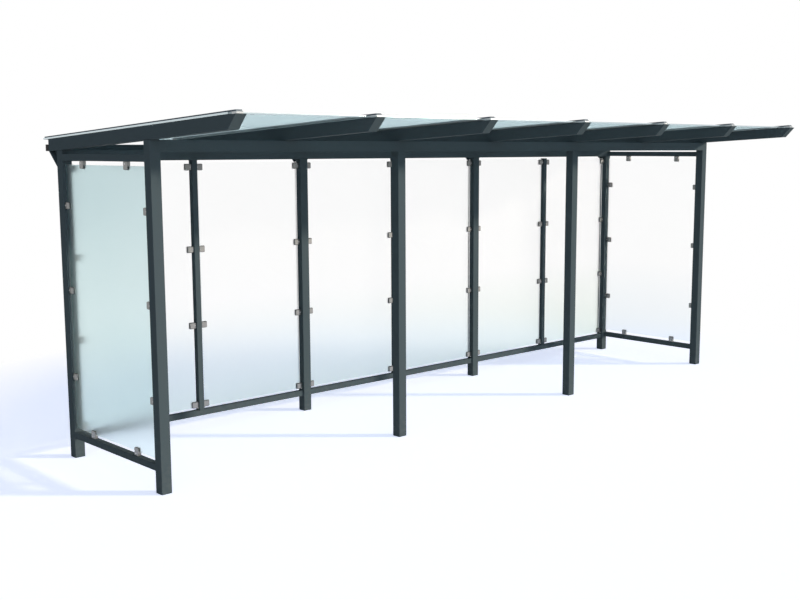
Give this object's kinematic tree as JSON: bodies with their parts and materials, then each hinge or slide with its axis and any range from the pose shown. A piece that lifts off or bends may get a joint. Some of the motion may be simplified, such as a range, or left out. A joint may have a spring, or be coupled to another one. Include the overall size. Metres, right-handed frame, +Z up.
{
  "type": "open-fronted glazed bicycle shelter",
  "caption": "Long open-fronted cycle shelter: steel post and beam frame, raked rafters under a sloping glass roof that juts out in front, frosted glass back and end walls on clamps.",
  "frame": {"origin": "floor level under the middle of the part's bounding box", "axes": "+X along the front towards the right end seen from the front, +Y from the open front to the back wall, +Z up"},
  "size_m": [6.74, 2.5962, 2.6041],
  "materials": {
    "frame": "satin",
    "wall_glass": "satin",
    "roof_glass": "gloss",
    "gasket": "matte",
    "cover_bar": "satin",
    "end_cap": "satin",
    "clamp": "satin"
  },
  "bodies": {
    "root": {"front_post_1": "frame", "front_post_2": "frame", "front_post_3": "frame", "front_post_4": "frame", "back_post_1": "frame", "back_post_2": "frame", "back_post_3": "frame", "back_post_4": "frame", "front_beam": "frame", "back_beam": "frame", "rafter_1": "frame", "rafter_2": "frame", "rafter_3": "frame", "rafter_4": "frame", "rafter_5": "frame", "rafter_6": "frame", "rafter_7": "frame", "tail_rail": "frame", "tail_brackets": "frame", "side_top_rail_left": "frame", "side_top_rail_right": "frame", "side_bottom_rail_left": "frame", "side_bottom_rail_right": "frame", "back_rail_1": "frame", "back_rail_2": "frame", "back_rail_3": "frame", "mullion_1": "frame", "mullion_2": "frame", "mullion_3": "frame", "back_glass_1": "wall_glass", "back_glass_2": "wall_glass", "back_glass_3": "wall_glass", "side_glass_left": "wall_glass", "side_glass_right": "wall_glass", "roof_glass_1": "roof_glass", "roof_glass_2": "roof_glass", "roof_glass_3": "roof_glass", "roof_glass_4": "roof_glass", "roof_glass_5": "roof_glass", "roof_glass_6": "roof_glass", "roof_gaskets": "gasket", "cover_bars": "cover_bar", "bar_end_caps": "end_cap", "back_clamps": "clamp", "side_clamps": "clamp"}
  },
  "joints": []
}
